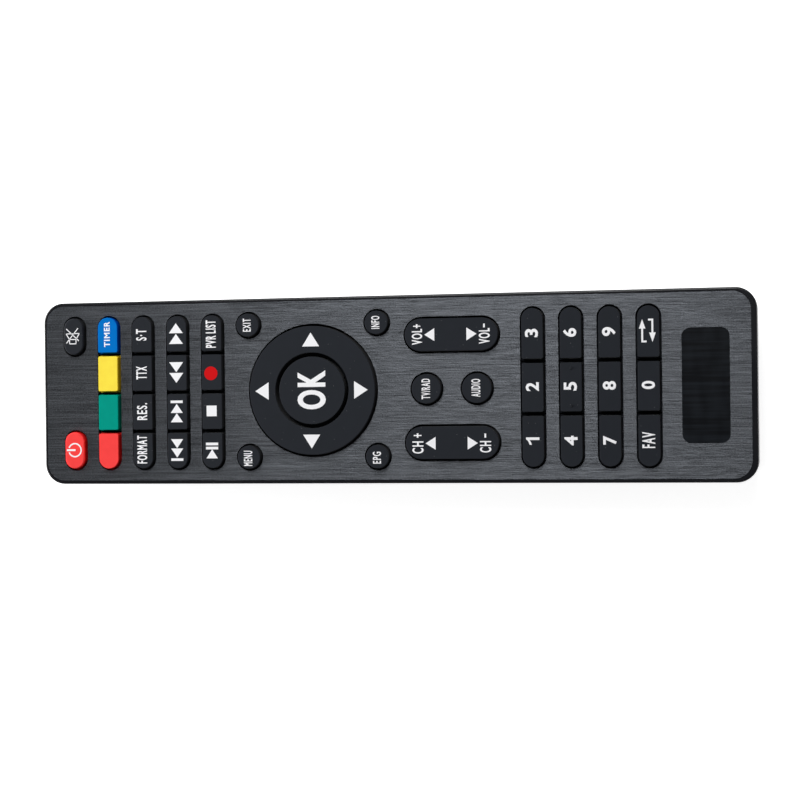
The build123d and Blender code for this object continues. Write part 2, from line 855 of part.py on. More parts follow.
# Rear shell: back of the body with the battery bay, the tray over the door and the board's ledges
tray_half_width = door_width / 2 + tray_margin
tray_high_y = door_top_y + tray_margin
door_zone = box(
    door_width + 2 * door_gap,
    half_length + door_top_y + door_gap + wall,
    door_end_height + door_gap + wall,
    (0, (door_top_y + door_gap - half_length - wall) / 2),
    -wall,
)
rail_groove = box(
    door_width + 2 * (rail_reach + door_gap),
    half_length + door_top_y + rail_reach + door_gap + wall,
    rail_thickness + 2 * fit,
    (0, (door_top_y + rail_reach + door_gap - half_length - wall) / 2),
    rail_height - fit,
)
riser_top = door_end_height + 2 * door_gap + tray_thickness
head_seat = tray_bottom + screw_head_depth + screw_head_height
with BuildPart() as rear_shell:
    add(rear_outer)
    add(rear_inner, mode=Mode.SUBTRACT)
    add(body_block(lip_inset, parting_height + lip_height))
    add(body_block(wall, parting_height + lip_height), mode=Mode.SUBTRACT)
    add(door_zone, mode=Mode.SUBTRACT)
    with BuildSketch(Plane.XY.offset(tray_bottom)):
        with Locations((0, (tray_high_y + tray_end_y) / 2)):
            Rectangle(2 * tray_half_width, tray_high_y - tray_end_y)
    extrude(amount=tray_thickness)
    with BuildSketch(Plane.XY.offset(tray_bottom)):
        with Locations((0, tray_end_y + tray_thickness / 2)):
            Rectangle(2 * tray_half_width, tray_thickness)
    extrude(amount=riser_top - tray_bottom)
    with BuildSketch(Plane.XY.offset(riser_top - tray_thickness)):
        end_y = -half_length + wall
        with Locations((0, (end_y + tray_end_y) / 2)):
            Rectangle(2 * tray_half_width, tray_end_y - end_y)
    extrude(amount=tray_thickness)
    add(rail_groove, mode=Mode.SUBTRACT)
    with BuildSketch(Plane.XY.offset(tray_bottom)):
        with Locations((0, (bay_top_y + bay_low_y) / 2)):
            Rectangle(2 * (bay_half_width + bay_wall), bay_length + 2 * bay_wall)
        draw_pads(screw_places, boss_radius)
    extrude(amount=boss_joint_height - tray_bottom)
    with BuildSketch(Plane.XY.offset(boss_joint_height)):
        with Locations((0, (bay_top_y + bay_low_y) / 2)):
            Rectangle(2 * (bay_half_width + bay_wall), bay_length + 2 * bay_wall)
    extrude(amount=board_underside - boss_joint_height)
    with BuildSketch(Plane.XY.offset(tray_bottom)):
        with Locations((0, (bay_top_y + bay_low_y) / 2)):
            Rectangle(2 * bay_half_width, bay_length)
    extrude(amount=bay_ceiling - tray_bottom, mode=Mode.SUBTRACT)
    with BuildSketch(Plane.XY.offset(bay_ceiling - bay_rib_drop)):
        with Locations((0, (bay_top_y + bay_low_y) / 2)):
            Rectangle(bay_rib_width, bay_length - 2 * spring_room)
    extrude(amount=bay_rib_drop)
    with BuildSketch(Plane.XY.offset(bay_ceiling)):
        with Locations((cell_x, bay_top_y), (-cell_x, bay_top_y)):
            Rectangle(contact_tail + 2 * tail_room, 2 * (contact_thickness + fit))
    extrude(amount=board_underside - bay_ceiling, mode=Mode.SUBTRACT)
    with BuildSketch(Plane.XY.offset(tray_bottom)):
        draw_pads(screw_places, screw_head_radius + 2 * fit)
    extrude(amount=head_seat - tray_bottom, mode=Mode.SUBTRACT)
    with BuildSketch(Plane.XY.offset(head_seat)):
        draw_pads(screw_places, screw_radius + 2 * fit)
    extrude(amount=boss_joint_height - head_seat, mode=Mode.SUBTRACT)
    with BuildSketch(Plane.XY.offset(ledge_low)):
        ledge_x = inner_half_width - ledge_reach / 2
        ledge_ys = [share * body_length for share in ledge_shares]
        with Locations(*[(side * ledge_x, y) for side in (1, -1) for y in ledge_ys]):
            Rectangle(ledge_reach, ledge_thickness)
    extrude(amount=board_underside - ledge_low)
    with BuildSketch(Plane.XY.offset(parting_height - hook_drop - fit)):
        with Locations(*hook_places):
            Rectangle(2 * (hook_nib + hook_room), hook_width + 2 * hook_room)
    extrude(amount=hook_drop, mode=Mode.SUBTRACT)
    add(window_hole, mode=Mode.SUBTRACT)
    add(window_pocket, mode=Mode.SUBTRACT)
save(rear_shell, "rear_shell")

# Battery door: it follows the back round the lower end and slides off that way on its rails
with BuildPart() as battery_door:
    add(rear_outer)
    add(door_inner, mode=Mode.SUBTRACT)
    add(
        box(
            door_width,
            half_length + door_top_y + wall,
            door_end_height + wall,
            (0, (door_top_y - half_length - wall) / 2),
            -wall,
        ),
        mode=Mode.INTERSECT,
    )
    with BuildSketch(Plane.XY.offset(rail_height)):
        rail_low_y = tray_end_y + rail_end_gap
        with Locations((0, (door_top_y + rail_reach + rail_low_y) / 2)):
            Rectangle(door_width + 2 * rail_reach, door_top_y + rail_reach - rail_low_y)
    extrude(amount=rail_thickness)
    with BuildSketch(Plane.XY):
        with Locations((0, grip_y)):
            Ellipse(grip_width / 2, grip_length / 2)
    extrude(amount=grip_depth, mode=Mode.SUBTRACT)
    with BuildSketch(Plane.XY.offset(grip_depth - grip_rib_height)):
        with Locations((0, grip_y)):
            with GridLocations(0, grip_length / grip_ribs, 1, grip_ribs):
                Rectangle(grip_width, grip_rib_width)
            Ellipse(grip_width / 2, grip_length / 2, mode=Mode.INTERSECT)
    extrude(amount=grip_rib_height)
save(battery_door, "battery_door")

# Two cells, the left one with its button towards the infrared end
for name, side in (("battery_left", -1), ("battery_right", 1)):
    tip_y = bay_top_y - contact_thickness - contact_bump
    if side > 0:
        tip_y = bay_low_y + contact_thickness + contact_bump
    shoulder_y = tip_y + side * cell_button_length
    with BuildPart() as battery:
        with BuildSketch(Plane(origin=(side * cell_x, shoulder_y, cell_axis), z_dir=(0, side, 0))):
            Circle(cell_radius)
        extrude(amount=cell_length - cell_button_length)
        fillet(battery.edges(), cell_round)
        with BuildSketch(Plane(origin=(side * cell_x, tip_y, cell_axis), z_dir=(0, side, 0))):
            Circle(cell_button_radius)
        extrude(amount=cell_button_length)
    save(battery, name)

# Contact plates: two with tails to the board, and one that joins the cells at the low end
with BuildPart() as contacts:
    top_plate_y = bay_top_y - contact_thickness / 2
    low_plate_y = bay_low_y + contact_thickness / 2
    with BuildSketch(Plane.XY.offset(cell_axis - contact_height / 2)):
        with Locations((cell_x, top_plate_y), (-cell_x, top_plate_y)):
            Rectangle(contact_width, contact_thickness)
        with Locations((0, low_plate_y)):
            Rectangle(contact_width + 2 * cell_x, contact_thickness)
    extrude(amount=contact_height)
    with BuildSketch(Plane.XY.offset(cell_axis)):
        with Locations((cell_x, top_plate_y), (-cell_x, top_plate_y)):
            Rectangle(contact_tail, contact_thickness)
    extrude(amount=board_underside - cell_axis)
    for side in (1, -1):
        plate_face = bay_low_y + contact_thickness
        if side < 0:
            plate_face = bay_top_y - contact_thickness
        with BuildSketch(Plane(origin=(side * cell_x, plate_face, cell_axis), z_dir=(0, side, 0))):
            Circle(contact_bump_radius)
        extrude(amount=contact_bump, taper=contact_bump_slope)
save(contacts, "contact_plates")

# Conical springs behind the flat ends of the cells
spring_height = spring_room - spring_wire - fit
with BuildPart() as springs:
    for side in (1, -1):
        seat_y = bay_top_y - contact_thickness
        if side < 0:
            seat_y = bay_low_y + contact_thickness
        start_y = seat_y - side * (spring_wire + fit) / 2
        with BuildLine() as coil:
            Helix(
                pitch=spring_height / spring_turns,
                height=spring_height,
                radius=spring_large,
                center=(side * cell_x, start_y, cell_axis),
                direction=(0, -side, 0),
                cone_angle=spring_cone,
            )
        with BuildSketch(Plane(origin=coil.line @ 0, z_dir=coil.line % 0)):
            RegularPolygon(spring_wire / 2, spring_sides)
        sweep(path=coil.line, is_frenet=True)
save(springs, "contact_springs")

# Screws that join the shells under the door
with BuildPart() as screws:
    with BuildSketch(Plane.XY.offset(tray_bottom + screw_head_depth)):
        draw_pads(screw_places, screw_head_radius)
    extrude(amount=screw_head_height)
    with BuildSketch(Plane.XY.offset(head_seat)):
        draw_pads(screw_places, screw_radius)
    extrude(amount=screw_length)
    with BuildSketch(Plane.XY.offset(tray_bottom + screw_head_depth)):
        for turn in (0, 90):
            with Locations(*screw_places):
                Rectangle(2 * screw_radius, screw_slot, rotation=turn)
    extrude(amount=screw_head_height / 2, mode=Mode.SUBTRACT)
save(screws, "shell_screws")
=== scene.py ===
"""Finishes, printed signs, studio and camera for a hand-held infrared remote control."""

import json
from math import cos, pi, radians, sin

import bmesh
import bpy
from bpy.props import FloatProperty, FloatVectorProperty, PointerProperty
from mathutils import Matrix, Vector


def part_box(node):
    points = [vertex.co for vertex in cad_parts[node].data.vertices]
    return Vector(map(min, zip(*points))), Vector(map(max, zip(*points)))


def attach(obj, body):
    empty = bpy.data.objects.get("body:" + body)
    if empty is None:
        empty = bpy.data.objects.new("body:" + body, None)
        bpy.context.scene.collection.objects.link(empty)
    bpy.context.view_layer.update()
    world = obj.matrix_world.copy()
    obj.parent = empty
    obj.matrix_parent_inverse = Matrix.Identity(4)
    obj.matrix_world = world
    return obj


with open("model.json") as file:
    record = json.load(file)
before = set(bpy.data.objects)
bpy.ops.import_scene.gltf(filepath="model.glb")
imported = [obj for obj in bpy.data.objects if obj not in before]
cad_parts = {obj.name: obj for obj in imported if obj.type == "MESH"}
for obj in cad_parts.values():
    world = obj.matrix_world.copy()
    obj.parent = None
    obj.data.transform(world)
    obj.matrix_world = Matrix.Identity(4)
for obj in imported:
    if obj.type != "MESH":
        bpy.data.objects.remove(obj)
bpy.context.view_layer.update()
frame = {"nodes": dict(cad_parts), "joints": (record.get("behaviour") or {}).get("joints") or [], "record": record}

bl_info = {
    "name": "Remote control looks",
    "version": (1, 0, 0),
    "blender": (4, 5, 0),
    "location": "3D View > Sidebar > Remote",
    "description": "Finishes a packed remote control, prints its keys and lights it",
    "category": "Object",
}

MM = 0.001
NODES = frame["nodes"]
KEY_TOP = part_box("ok_key")[1].z
BOARD_BOTTOM, BOARD_TOP = (corner.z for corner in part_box("circuit_board"))

BLACK_KEYS = sorted(
    part["node"]
    for part in frame["record"]["subparts"]
    if part["material_slot"] == "key_rubber"
)
COLOUR_KEYS = {
    "power_key": "red_colour",
    "red_key": "red_colour",
    "green_key": "green_colour",
    "yellow_key": "yellow_colour",
    "timer_key": "blue_colour",
}
ROUND_KEYS = ("exit_key", "menu_key", "info_key", "guide_key", "tv_radio_key", "audio_key")

# Words on the keys: node, words, middle across and along, width and height, all in millimetres
WORDS = (
    ("timer_key", "TIMER", (15.42, 74.59), (6.60, 1.60)),
    ("subtitle_key", "S·T", (15.12, 65.09), (3.01, 2.91)),
    ("teletext_key", "TTX", (5.17, 65.14), (3.43, 2.91)),
    ("resolution_key", "RES.", (-4.93, 65.09), (4.42, 2.82)),
    ("format_key", "FORMAT", (-14.88, 65.19), (7.30, 2.75)),
    ("recordings_key", "PVR LIST", (14.97, 46.09), (7.15, 2.77)),
    ("exit_key", "EXIT", (17.07, 36.34), (3.38, 2.10)),
    ("menu_key", "MENU", (-17.33, 36.39), (3.90, 2.29)),
    ("info_key", "INFO", (17.07, 2.34), (3.29, 2.15)),
    ("guide_key", "EPG", (-17.33, 2.34), (3.01, 2.15)),
    ("tv_radio_key", "TV/RAD", (-0.03, -10.51), (5.17, 2.24)),
    ("audio_key", "AUDIO", (0.07, -23.31), (4.51, 2.29)),
    ("favourites_key", "FAV", (-13.33, -66.21), (3.95, 3.20)),
    ("volume_rocker", "VOL+", (13.77, -8.41), (5.17, 2.72)),
    ("volume_rocker", "VOL−", (13.67, -25.61), (5.03, 2.82)),
    ("channel_rocker", "CH +", (-13.78, -8.31), (5.12, 2.91)),
    ("channel_rocker", "CH −", (-13.78, -25.61), (4.79, 2.91)),
)
LARGE_WORD = ("ok_key", "OK", (0.02, 19.29), (9.75, 7.5))

# Numbers on the keys: node, middle across and along, width and height
NUMBERS = (
    ("digit_0_key", (0.22, -66.26), (2.04, 3.28)),
    ("digit_2_key", (0.17, -37.56), (2.23, 3.28)),
    ("digit_3_key", (13.57, -37.51), (2.09, 3.28)),
    ("digit_4_key", (-13.33, -47.06), (2.38, 3.28)),
    ("digit_5_key", (0.17, -47.06), (2.18, 3.28)),
    ("digit_6_key", (13.52, -47.06), (2.18, 3.28)),
    ("digit_7_key", (-13.33, -56.66), (2.13, 3.28)),
    ("digit_8_key", (0.22, -56.71), (2.18, 3.28)),
    ("digit_9_key", (13.57, -56.71), (2.23, 3.33)),
)

# The number 1 has a longer flag than the built-in one: its corners, about its middle
ONE_OUTLINE = (
    (0.26, -1.68),
    (0.92, -1.68),
    (0.92, 1.68),
    (0.42, 1.68),
    (0.26, 1.42),
    (-0.02, 1.16),
    (-0.42, 0.96),
    (-0.92, 0.80),
    (-0.92, 0.24),
    (-0.30, 0.44),
    (0.26, 0.80),
)

# Middle of each sign on its key, across and along
SIGN_PLACES = {
    "mute_key": (15.12, 84.14),
    "power_key": (-14.93, 84.04),
    "fast_forward_key": (15.27, 55.59),
    "rewind_key": (5.12, 55.59),
    "next_key": (-4.98, 55.59),
    "previous_key": (-15.08, 55.59),
    "record_key": (4.77, 46.19),
    "stop_key": (-4.98, 46.09),
    "play_pause_key": (-15.23, 46.09),
    "direction_ring": (-0.03, 19.39),
    "volume_rocker": (13.67, -16.96),
    "channel_rocker": (-13.78, -16.96),
    "digit_1_key": (-13.38, -37.51),
    "recall_key": (13.62, -66.16),
}

# Softboxes that face the remote: name, place, width and height, in metres
SOFTBOXES = (
    ("right_softbox", (0.50, 0.070, 0.60), (0.42, 0.60)),
    ("far_softbox", (0.05, 0.75, 0.17), (0.70, 0.30)),
    ("near_softbox", (0.00, -0.80, 0.12), (0.50, 0.10)),
)
FLOOR_REACH = 2.0
FLOOR_DROP = 0.05 * MM

# Directions of the photograph's right edge and of the way back to the camera
PICTURE_RIGHT = (-0.01206, -0.97913, -0.20288)
PICTURE_BACK = (-0.0003, -0.20289, 0.9792)


class RemoteFinishes(bpy.types.PropertyGroup):
    """Colours and surface strengths of the remote control."""

    plate_colour: FloatVectorProperty(
        name="Plate",
        description="Middle colour of the brushed face plate",
        subtype="COLOR",
        default=(0.0772, 0.0824, 0.0912),
    )
    streak_strength: FloatProperty(
        name="Streaks",
        description="How far the brushed streaks go above and below the plate's colour",
        subtype="FACTOR",
        default=0.56,
        min=0,
        max=1,
    )
    shell_colour: FloatVectorProperty(
        name="Shells",
        description="Colour of the moulded shells and the battery door",
        subtype="COLOR",
        default=(0.0050, 0.0055, 0.0075),
    )
    key_colour: FloatVectorProperty(
        name="Keys",
        description="Colour of the soft-touch keys",
        subtype="COLOR",
        default=(0.0130, 0.0155, 0.0205),
    )
    red_colour: FloatVectorProperty(
        name="Red keys",
        description="Colour of the power key and the red key",
        subtype="COLOR",
        default=(0.96, 0.060, 0.058),
    )
    green_colour: FloatVectorProperty(
        name="Green key",
        description="Colour of the green key",
        subtype="COLOR",
        default=(0.0, 0.29, 0.22),
    )
    yellow_colour: FloatVectorProperty(
        name="Yellow key",
        description="Colour of the yellow key",
        subtype="COLOR",
        default=(1.0, 0.74, 0.066),
    )
    blue_colour: FloatVectorProperty(
        name="Blue key",
        description="Colour of the blue key",
        subtype="COLOR",
        default=(0.0, 0.155, 0.53),
    )
    dust: FloatProperty(
        name="Dust",
        description="Share of the small cells on a key that hold a speck of dust",
        subtype="FACTOR",
        default=0.22,
        min=0,
        max=1,
    )


class RemotePrints(bpy.types.PropertyGroup):
    """Sizes and colours of what is printed on the keys."""

    ink_thickness: FloatProperty(
        name="Thickness",
        description="Thickness of the printed layer",
        unit="LENGTH",
        default=0.02 * MM,
        min=0.005 * MM,
        max=0.2 * MM,
    )
    word_weight: FloatProperty(
        name="Words",
        description="How much the strokes of the words grow outwards",
        unit="LENGTH",
        default=0.06 * MM,
    )
    number_weight: FloatProperty(
        name="Numbers",
        description="How much the strokes of the numbers grow outwards",
        unit="LENGTH",
        default=0.13 * MM,
    )
    small_weight: FloatProperty(
        name="Small words",
        description="How much the strokes of the words on the round keys grow outwards",
        unit="LENGTH",
        default=0.04 * MM,
    )
    large_weight: FloatProperty(
        name="Large word",
        description="How much the strokes of the word on the middle key grow outwards",
        unit="LENGTH",
        default=0.26 * MM,
    )
    ink_colour: FloatVectorProperty(
        name="White ink",
        description="Colour of the words, numbers and signs",
        subtype="COLOR",
        default=(0.90, 0.90, 0.92),
    )
    record_colour: FloatVectorProperty(
        name="Record dot",
        description="Colour of the dot on the record key",
        subtype="COLOR",
        default=(0.60, 0.004, 0.006),
    )


class RemoteStudio(bpy.types.PropertyGroup):
    """Camera, lights and floor round the remote control."""

    lens: FloatProperty(
        name="Lens",
        description="Focal length of the camera",
        unit="CAMERA",
        default=77.14,
    )
    camera_place: FloatVectorProperty(
        name="Camera",
        description="Where the camera stands",
        subtype="TRANSLATION",
        default=(-0.00287, -0.09196, 0.44648),
    )
    room_light: FloatProperty(
        name="Room",
        description="Strength of the even light from all round",
        default=0.13,
        min=0,
    )
    right_softbox: FloatProperty(
        name="Right softbox",
        description="Power of the upright light on the right of the remote",
        unit="POWER",
        default=4.7,
    )
    far_softbox: FloatProperty(
        name="Far softbox",
        description="Power of the low light beyond the infrared end",
        unit="POWER",
        default=9.0,
    )
    near_softbox: FloatProperty(
        name="Near softbox",
        description="Power of the low light before the lower end",
        unit="POWER",
        default=1.4,
    )
    floor_glow: FloatProperty(
        name="Floor glow",
        description="Light that the floor gives off like a light table",
        default=0.76,
        min=0,
    )


class Wire:
    """Value of a node's output, so that sums on it can be written as Python sums."""

    def __init__(self, finish, socket):
        self.finish = finish
        self.socket = socket

    def maths(self, operation, *values):
        inputs = dict(enumerate(values))
        return self.finish.node("ShaderNodeMath", {"operation": operation}, inputs)

    def __add__(self, other):
        return self.maths("ADD", self, other)

    def __radd__(self, other):
        return self.maths("ADD", other, self)

    def __sub__(self, other):
        return self.maths("SUBTRACT", self, other)

    def __rsub__(self, other):
        return self.maths("SUBTRACT", other, self)

    def __mul__(self, other):
        return self.maths("MULTIPLY", self, other)

    def __rmul__(self, other):
        return self.maths("MULTIPLY", other, self)

    def __gt__(self, other):
        return self.maths("GREATER_THAN", self, other)

    def __lt__(self, other):
        return self.maths("LESS_THAN", self, other)

    def __abs__(self):
        return self.maths("ABSOLUTE", self)

    def __mod__(self, other):
        return self.maths("FLOORED_MODULO", self, other)


class Finish:
    """One material in the making, on the coordinates of the piece that wears it."""

    sockets = {
        "colour": "Base Color",
        "metallic": "Metallic",
        "roughness": "Roughness",
        "normal": "Normal",
        "specular": "Specular IOR Level",
        "coat": "Coat Weight",
        "coat_roughness": "Coat Roughness",
        "sheen": "Sheen Weight",
        "sheen_roughness": "Sheen Roughness",
    }

    def __init__(self, name):
        self.material = bpy.data.materials.new(name)
        self.material.use_nodes = True
        self.tree = self.material.node_tree
        self.tree.nodes.clear()
        self.place = self.node("ShaderNodeTexCoord", output="Object")

    def node(self, kind, settings=None, inputs=None, output=0):
        """Add a node, set it up, feed its sockets and give back one of its outputs."""
        node = self.tree.nodes.new(kind)
        for name, value in (settings or {}).items():
            if name == "stops":
                for element, (position, grey) in zip(node.color_ramp.elements, value):
                    element.position = position
                    element.color = (grey, grey, grey, 1)
            else:
                setattr(node, name, value)
        for name, value in (inputs or {}).items():
            socket = node.inputs[name]
            if isinstance(value, Wire):
                self.tree.links.new(value.socket, socket)
            elif socket.type == "RGBA":
                socket.default_value = (*value, 1)
            else:
                socket.default_value = value
        if node.outputs:
            return Wire(self, node.outputs[output])

    def spread(self, size, stretch=(1, 1, 1)):
        """Coordinates that grow by one over each feature of this size."""
        scale = [1 / (size * share) for share in stretch]
        inputs = {"Vector": self.place, "Scale": scale}
        return self.node("ShaderNodeMapping", {"vector_type": "POINT"}, inputs)

    def cloud(self, size, stretch=(1, 1, 1), detail=2.0, roughness=0.5):
        """Cloudy pattern with features of about this size, drawn out along an axis."""
        inputs = {
            "Vector": self.spread(size, stretch),
            "Scale": 1.0,
            "Detail": detail,
            "Roughness": roughness,
        }
        return self.node("ShaderNodeTexNoise", {}, inputs)

    def contrast(self, value, low, high):
        """Value stretched so that low becomes 0 and high becomes 1."""
        stops = ((low, 0.0), (high, 1.0))
        return self.node("ShaderNodeValToRGB", {"stops": stops}, {"Fac": value})

    def axis(self, name):
        """One of the piece's own coordinates, in metres."""
        return self.node("ShaderNodeSeparateXYZ", {}, {"Vector": self.place}, name)

    def painted_shade_mask(self, reach):
        """Mask for painted shade: 0 close beside a wall that rises over the surface, 1 clear of all neighbours."""
        settings = {"samples": 8, "only_local": False}
        open_sky = self.node("ShaderNodeAmbientOcclusion", settings, {"Distance": reach}, "AO")
        return self.contrast(open_sky, 0.45, 0.95)

    def mix(self, share, first, second):
        """Colour that goes from first to second with a share."""
        inputs = {0: share, 6: first, 7: second}
        return self.node("ShaderNodeMix", {"data_type": "RGBA"}, inputs, 2)

    def bump(self, height, depth, strength=1.0):
        """Normal of a surface whose relief is this deep."""
        inputs = {"Height": height, "Distance": depth, "Strength": strength}
        return self.node("ShaderNodeBump", {}, inputs)

    def surface(self, **values):
        """Close the material with one principled surface and give it back."""
        inputs = {self.sockets[name]: value for name, value in values.items()}
        shader = self.node("ShaderNodeBsdfPrincipled", {}, inputs)
        self.node("ShaderNodeOutputMaterial", {}, {"Surface": shader})
        return self.material


def shade(colour, share):
    """Colour made darker or lighter by a share."""
    return tuple(min(1.0, value * share) for value in colour)


def painted_side_shade(colour):
    """Painted shade: a darker, richer copy of a colour for the sides of a key."""
    peak = max(colour)
    return tuple(value * (value / peak) ** 0.5 for value in colour)


def cover(piece, material):
    """Give a CAD node or a new piece its finish."""
    if piece.material_slots:
        for slot in piece.material_slots:
            slot.material = material
    else:
        piece.data.materials.append(material)


def brushed_metal(name, colour, strength):
    """Dark metal film with streaks and hair-fine grooves along the remote, with painted shade beside walls."""
    finish = Finish(name)
    hair = finish.cloud(0.05 * MM, (1, 240, 1), roughness=0.6)
    thread = finish.cloud(0.11 * MM, (1, 190, 1), detail=2.5, roughness=0.65)
    band = finish.cloud(2.2 * MM, (1, 30, 1), detail=1.0)
    grain = finish.cloud(0.20 * MM, (1, 2, 1))
    streaks = thread * 0.60 + band * 0.06 + grain * 0.34
    share = finish.contrast(streaks, 0.38, 0.62)
    brushed = finish.mix(share, shade(colour, 1 - strength), shade(colour, 1 + strength))
    # Painted shade: the plate takes a dark copy of its colour where keys and walls rise beside it.
    painted_wall_shade = shade(colour, 0.25)
    painted_shade_reach = 0.8 * MM
    groove_depth = 0.06 * MM
    return finish.surface(
        colour=finish.mix(finish.painted_shade_mask(painted_shade_reach), painted_wall_shade, brushed),
        metallic=1.0,
        roughness=0.31 + 0.10 * share,
        normal=finish.bump(hair + thread, groove_depth),
    )


def moulded_plastic(name, colour, roughness=0.42, relief=0.006 * MM):
    """Black plastic from a finely eroded mould, a little polished where it has been held."""
    finish = Finish(name)
    pits = finish.cloud(0.16 * MM, detail=3.0, roughness=0.6)
    handling = finish.contrast(finish.cloud(14 * MM), 0.35, 0.70)
    return finish.surface(
        colour=finish.mix(pits, shade(colour, 0.85), shade(colour, 1.2)),
        roughness=roughness - 0.06 * handling + 0.04 * pits,
        specular=0.35,
        normal=finish.bump(pits, relief, 0.6),
    )


def soft_rubber(name, colour, side, dust, specular=0.12, sheen=0.04):
    """Matt silicone with a fine skin, faint mottling, painted shade on its sides and specks of dust."""
    finish = Finish(name)
    skin = finish.cloud(0.09 * MM, roughness=0.55)
    mottling = finish.cloud(2.6 * MM, detail=3.0)
    cells = {"Vector": finish.spread(0.9 * MM), "Scale": 1.0}
    distance = finish.node("ShaderNodeTexVoronoi", {}, cells, "Distance")
    chance = finish.node("ShaderNodeTexVoronoi", {}, cells, "Color")
    pick = finish.node("ShaderNodeSeparateColor", {}, {"Color": chance}, "Red")
    speck_radius = 0.075
    speck = (distance < speck_radius) * (pick < dust)
    facing = finish.node("ShaderNodeTexCoord", output="Normal")
    upward = finish.node("ShaderNodeSeparateXYZ", {}, {"Vector": facing}, "Z")
    top = finish.mix(mottling, shade(colour, 0.9), shade(colour, 1.12))
    # Painted shade: faces that turn away from up take the darker side colour.
    base = finish.mix(finish.contrast(upward, 0.25, 0.85), side, top)
    pale = tuple(0.75 * value + 0.14 for value in colour)
    return finish.surface(
        colour=finish.mix(speck, base, pale),
        roughness=0.60 + 0.12 * mottling,
        specular=specular,
        sheen=sheen,
        sheen_roughness=0.5,
        normal=finish.bump(skin, 0.003 * MM, 0.5),
    )


def printed_ink(name, colour, specular=0.3):
    """Screen-printed ink: flat, with a fine mesh grain."""
    finish = Finish(name)
    grain = finish.cloud(0.07 * MM, detail=1.0)
    return finish.surface(
        colour=finish.mix(grain, shade(colour, 0.97), shade(colour, 1.03)),
        roughness=0.48 + 0.08 * grain,
        specular=specular,
        normal=finish.bump(grain, 0.002 * MM, 0.4),
    )


def dark_label(name):
    """Smooth dark film over the brushed plate, whose streaks show through faintly."""
    finish = Finish(name)
    streaks = finish.cloud(0.7 * MM, (1, 34, 1))
    waves = finish.cloud(5.0 * MM, (1.6, 0.7, 1), detail=1.0)
    share = finish.contrast(streaks * 0.7 + waves * 0.3, 0.40, 0.64)
    return finish.surface(
        colour=finish.mix(share, (0.0012, 0.0019, 0.0033), (0.0070, 0.0092, 0.0126)),
        roughness=0.34 + 0.10 * waves,
        specular=0.16,
        normal=finish.bump(streaks, 0.002 * MM, 0.4),
    )


def silicone_sheet(name):
    """Dark grey silicone of the mat and the collar."""
    finish = Finish(name)
    skin = finish.cloud(0.2 * MM)
    return finish.surface(
        colour=finish.mix(skin, (0.010, 0.010, 0.011), (0.018, 0.018, 0.020)),
        roughness=0.62 + 0.1 * skin,
        specular=0.12,
        normal=finish.bump(skin, 0.006 * MM, 0.5),
    )


def circuit_laminate(name):
    """Green solder mask with tracks that shine through, and a brown core at the edges."""
    finish = Finish(name)
    across, along, up = (finish.axis(letter) for letter in "XYZ")
    lane_pitch = 1.3 * MM
    rung_pitch = 2.1 * MM
    core_reach = 0.56 * MM
    wander = finish.cloud(9 * MM, detail=1.0)
    lanes = (across * (1 / lane_pitch) + wander * 4.0) % 1.0
    rungs = (along * (1 / rung_pitch) + wander * 6.0) % 1.0
    choice = finish.cloud(6 * MM, detail=0.0) > 0.52
    track = choice * (lanes < 0.42) + (1 - choice) * (rungs < 0.36)
    core = abs(up - (BOARD_BOTTOM + BOARD_TOP) / 2) < core_reach
    mask = finish.mix(track, (0.006, 0.055, 0.022), (0.020, 0.135, 0.050))
    return finish.surface(
        colour=finish.mix(core, mask, (0.19, 0.13, 0.06)),
        roughness=0.28 + 0.4 * core,
        specular=0.5,
        normal=finish.bump(track, 0.02 * MM, 0.7),
    )


def carbon_ink(name):
    """Black carbon ink of the contact pads."""
    finish = Finish(name)
    grain = finish.cloud(0.05 * MM)
    return finish.surface(
        colour=finish.mix(grain, (0.012, 0.012, 0.013), (0.030, 0.030, 0.032)),
        roughness=0.5 + 0.2 * grain,
        normal=finish.bump(grain, 0.002 * MM, 0.5),
    )


def chip_body(name):
    """Black moulding of the chip, with tinned legs outside its sides."""
    finish = Finish(name)
    half_moulding = 3.76 * MM
    legs = abs(finish.axis("X")) > half_moulding
    grain = finish.cloud(0.12 * MM)
    black = finish.mix(grain, (0.014, 0.014, 0.015), (0.026, 0.026, 0.027))
    return finish.surface(
        colour=finish.mix(legs, black, (0.72, 0.71, 0.68)),
        metallic=legs,
        roughness=0.6 - 0.3 * legs,
        normal=finish.bump(grain, 0.004 * MM, 0.6),
    )


def silvered_chips(name):
    """Silvered skin of the small resistors, faintly rough."""
    finish = Finish(name)
    grain = finish.cloud(0.06 * MM, detail=1.0)
    return finish.surface(
        colour=(0.70, 0.70, 0.68),
        metallic=1.0,
        roughness=0.35,
        normal=finish.bump(grain, 0.002 * MM, 0.5),
    )


def amber_dip(name):
    """Glossy resin skin of the resonator."""
    finish = Finish(name)
    flow = finish.cloud(1.4 * MM, (1, 1, 2))
    return finish.surface(
        colour=finish.mix(flow, (0.52, 0.22, 0.02), (0.74, 0.36, 0.05)),
        roughness=0.16 + 0.1 * flow,
        coat=0.4,
        normal=finish.bump(flow, 0.05 * MM, 0.5),
    )


def shrink_sleeve(name):
    """Dark sleeve of the capacitor with a pale stripe, and bare metal at its far end."""
    finish = Finish(name)
    bare_length = 0.5 * MM
    stripe_edge = 1.2 * MM
    bare = finish.axis("Y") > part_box(name)[1].y - bare_length
    stripe = (finish.axis("X") > stripe_edge) * (1 - bare)
    film = finish.cloud(0.5 * MM, (1, 4, 1))
    sleeve = finish.mix(film, (0.012, 0.018, 0.060), (0.020, 0.028, 0.085))
    marked = finish.mix(stripe, sleeve, (0.55, 0.57, 0.60))
    return finish.surface(
        colour=finish.mix(bare, marked, (0.70, 0.70, 0.71)),
        metallic=bare,
        roughness=0.26 + 0.1 * film,
        normal=finish.bump(film, 0.01 * MM, 0.5),
    )


